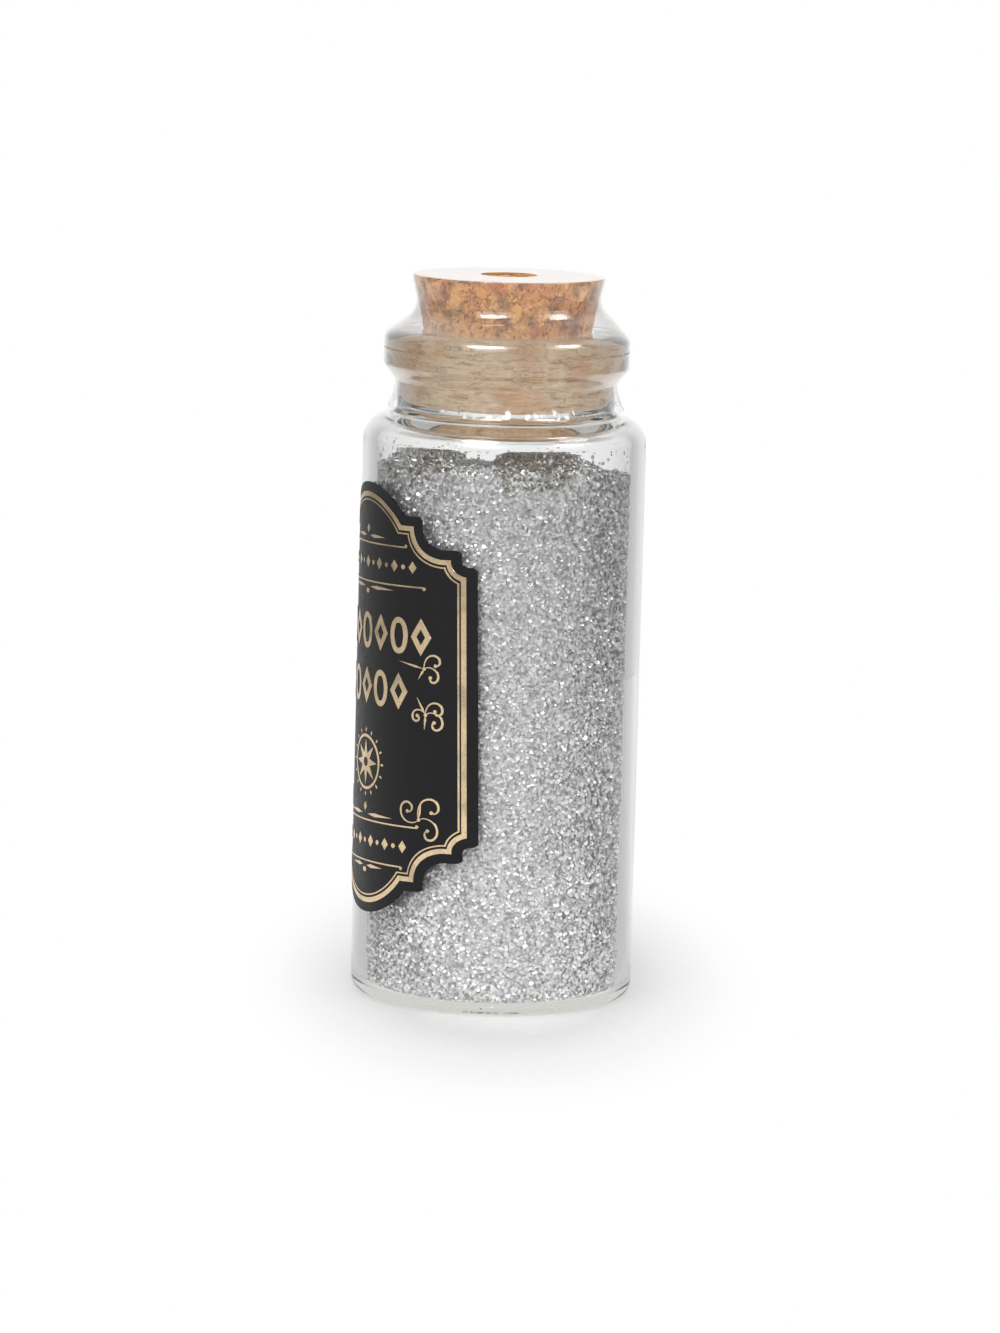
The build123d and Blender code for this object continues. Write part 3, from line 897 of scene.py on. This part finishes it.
fill_line = fill_outline(FILL_RADIUS, FLOOR_THICKNESS + FLAKE_LIFT, INNER_HEEL)
heap_line = fill_outline(FILL_RADIUS - HEAP_INSET, FLOOR_THICKNESS - HEAP_SINK, INNER_HEEL - 0.1)
turn = directions(FILL_COLUMNS)
wall_top = fill_height(FILL_RADIUS * np.cos(turn), FILL_RADIUS * np.sin(turn))
heap_radii, heap_heights = (list(grid) for grid in spun(heap_line, FILL_COLUMNS))
for step in range(1, HEAP_WALL_RINGS + 1):
    heap_heights.append(HEAP_STRAIGHT + (wall_top - HEAP_STRAIGHT) * step / HEAP_WALL_RINGS)
    heap_radii.append(inner_reach(heap_heights[-1]) - HEAP_UNDER_FLAKES)
for inward in np.linspace(FILL_RADIUS - HEAP_TOP_INSET, NEAR_AXIS, HEAP_TOP_RINGS):
    heap_radii.append(np.full(FILL_COLUMNS, inward))
    heap_heights.append(fill_height(inward * np.cos(turn), inward * np.sin(turn)))
heap = turned("glitter_heap", np.array(heap_radii), np.array(heap_heights), heap_material(), True)
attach(heap, "bottle")
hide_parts("glitter_fill")

flake_finish = glitter_material()
shaded_flake_finish = shaded_flake_material()


def flakes(name, places, facing, tilt, finish=flake_finish):
    """Six-sided flakes at places, facing outward but tilted at random, all kept inside the glass."""
    count = len(places)
    pick = random.random(count)
    size = FLAKE_RADIUS * (0.8 + 0.4 * pick + 0.6 * pick**24)
    normal = facing + tilt * random.normal(size=(count, 3))
    normal /= np.linalg.norm(normal, axis=1)[:, None]
    other = random.normal(size=(count, 3))
    first = np.cross(normal, other)
    first /= np.linalg.norm(first, axis=1)[:, None]
    second = np.cross(normal, first)
    corners = []
    for side in range(6):
        turn = math.pi * side / 3
        corners.append(places + size[:, None] * (first * math.cos(turn) + second * math.sin(turn)))
    vertices = np.stack(corners, axis=1).reshape(-1, 3)
    reach = np.linalg.norm(vertices[:, :2], axis=1)
    room = inner_reach(vertices[:, 2]) - WALL_CLEARANCE
    vertices[:, :2] *= np.minimum(1, room / np.maximum(reach, 0.01))[:, None]
    vertices[:, 2] = np.maximum(vertices[:, 2], FLOOR_THICKNESS + FLOOR_CLEARANCE)
    faces = [tuple(range(6 * flake, 6 * flake + 6)) for flake in range(count)]
    made = add_mesh(name, vertices, faces, finish, smooth=False)
    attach(made, "bottle")


def wall_flakes(name, count):
    """Flakes against the floor, its round heel and the side wall, spread evenly over their area."""
    steps = np.linalg.norm(np.diff(fill_line, axis=0), axis=1)
    length = np.concatenate([[0], np.cumsum(steps)])
    full = length[-1] + WALL_LENGTH_OVER
    even = random.random(count)
    start = FILL_RADIUS * 0.5
    travel = np.where(even < start / full, FILL_RADIUS * np.sqrt(even * full / start), even * full)
    height = np.interp(travel, length, fill_line[:, 1]) + np.maximum(travel - length[-1], 0)
    radius = np.interp(travel, length, fill_line[:, 0]) + inner_reach(height) - INNER_RADIUS
    turn = random.random(count) * 2 * math.pi
    depth = random.random(count) * WALL_DEPTH
    x, y = (radius - depth) * np.cos(turn), (radius - depth) * np.sin(turn)
    keep = height < fill_height(x, y)
    places = np.stack([x, y, height + 0.02], axis=1)[keep]
    downward = np.where(travel < FILL_RADIUS - INNER_HEEL, -4.0, 0.0)
    outward = np.stack([np.cos(turn), np.sin(turn), downward], axis=1)[keep]
    outward /= np.linalg.norm(outward, axis=1)[:, None]
    sideways = places[:, :2] @ CAMERA_RIGHT / FILL_RADIUS
    below = fill_height(places[:, 0], places[:, 1]) - places[:, 2] + 1.4 * smooth_noise(places, 1.4)
    # Flakes near the heap's top edge on the side under the cork take the darker copy: painted shade for the
    # cork's shadow.
    in_painted_shade = below < painted_shade_depth(sideways)
    flakes(name + "_shaded_edge", places[in_painted_shade], outward[in_painted_shade], 0.5, shaded_flake_finish)
    flakes(name, places[~in_painted_shade], outward[~in_painted_shade], 0.34)


wall_flakes("glitter_wall_1", WALL_FLAKES)
wall_flakes("glitter_wall_2", WALL_FLAKES)

spread = FILL_RADIUS * np.sqrt(random.random(TOP_FLAKES))
turn = random.random(TOP_FLAKES) * 2 * math.pi
x, y = spread * np.cos(turn), spread * np.sin(turn)
top_places = np.stack([x, y, fill_height(x, y) + 0.1 * random.random(TOP_FLAKES)], axis=1)
# Top flakes under the cork take the darker copy: painted shade for the cork's shadow.
wandering = top_places[:, :2] @ CAMERA_RIGHT + 1.5 * smooth_noise(top_places, 1.5)
shaded = painted_shade_depth(wandering / FILL_RADIUS) > 0.4
tops = (("glitter_top_shaded", shaded, shaded_flake_finish), ("glitter_top", ~shaded, flake_finish))
for name, chosen, finish in tops:
    flakes(name, top_places[chosen], np.tile([0.0, 0.0, 1.0], (chosen.sum(), 1)), 0.6, finish)

turn = random.random(CLINGING_FLAKES) * 2 * math.pi
above = random.exponential(CLINGING_REACH, CLINGING_FLAKES)
x, y = CLINGING_RADIUS * np.cos(turn), CLINGING_RADIUS * np.sin(turn)
height = fill_height(x, y) + above
stuck = height < CLINGING_TOP
clinging = np.stack([x, y, height], axis=1)[stuck]
flakes("glitter_clinging", clinging, np.stack([np.cos(turn), np.sin(turn), 0 * turn], axis=1)[stuck], 0.15)

# Label and print

black = label_material()
gold = gold_material()
for name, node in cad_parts.items():
    if name.startswith("label_"):
        node.data.materials.clear()
        node.data.materials.append(black if name == "label_sheet" else gold)

# Floor, light and camera

turn = directions(FLOOR_SIDES)
edge = np.stack([FLOOR_RADIUS * np.cos(turn), FLOOR_RADIUS * np.sin(turn), 0 * turn], axis=1)
floor = add_mesh("floor", edge, [tuple(range(FLOOR_SIDES))], floor_material())

world = bpy.data.worlds.new("studio")
bpy.context.scene.world = world
sky = Shader(world)
look = sky.add("TexCoord").outputs["Generated"]
overhead = sky.span(sky.height(look), 0.15, 0.75, easy=True)
sky_colour = sky.mix(overhead, sky.room_tone(look), grey(OVERHEAD))
soft = sky.add("Background", {"Color": sky_colour, "Strength": 1.0}).outputs["Background"]
plain = sky.add("Background", {"Color": WHITE, "Strength": 1.0}).outputs["Background"]
sky.add("OutputWorld", {"Surface": sky.blend(sky.path("Is Camera Ray"), soft, plain)})


def toward(azimuth, elevation):
    """The direction of a place seen from the object at an azimuth and elevation."""
    a, e = math.radians(azimuth), math.radians(elevation)
    return Vector((math.sin(a) * math.cos(e), -math.cos(a) * math.cos(e), math.sin(e)))


aim = Vector((0, 0, AIM_HEIGHT))
for name, azimuth, elevation, distance, width, height, radiance, gloss_only in LAMPS:
    lamp = bpy.data.lights.new(name, "AREA")
    lamp.shape = "ELLIPSE" if gloss_only else "RECTANGLE"
    lamp.size = width * MM
    lamp.size_y = height * MM
    lamp.energy = radiance * math.pi * width * height * MM * MM
    if gloss_only:
        lamp.energy *= math.pi / 4
    made = bpy.data.objects.new(name, lamp)
    bpy.context.scene.collection.objects.link(made)
    made.visible_diffuse = not gloss_only
    place = toward(CAMERA_AZIMUTH + azimuth, elevation) * distance + aim
    made.location = place * MM
    made.rotation_euler = (aim - place).to_track_quat("-Z", "Y").to_euler()

camera_data = bpy.data.cameras.new("camera")
camera_data.sensor_fit = "HORIZONTAL"
camera_data.sensor_width = SENSOR
camera_data.lens = LENS
camera_data.shift_x, camera_data.shift_y = SHIFT
camera_data.clip_start = 0.01
camera_data.clip_end = 50.0
camera = bpy.data.objects.new("camera", camera_data)
bpy.context.scene.collection.objects.link(camera)
bpy.context.scene.camera = camera
back = toward(CAMERA_AZIMUTH, CAMERA_ELEVATION)
level_right = Vector((*CAMERA_RIGHT, 0))
level_up = back.cross(level_right)
roll = math.radians(CAMERA_ROLL)
right = level_right * math.cos(roll) + level_up * math.sin(roll)
up = level_up * math.cos(roll) - level_right * math.sin(roll)
camera.matrix_world = Matrix((right, up, back)).transposed().to_4x4()
camera.location = (back * CAMERA_DISTANCE + aim) * MM

bpy.context.scene.view_settings.view_transform = "Standard"
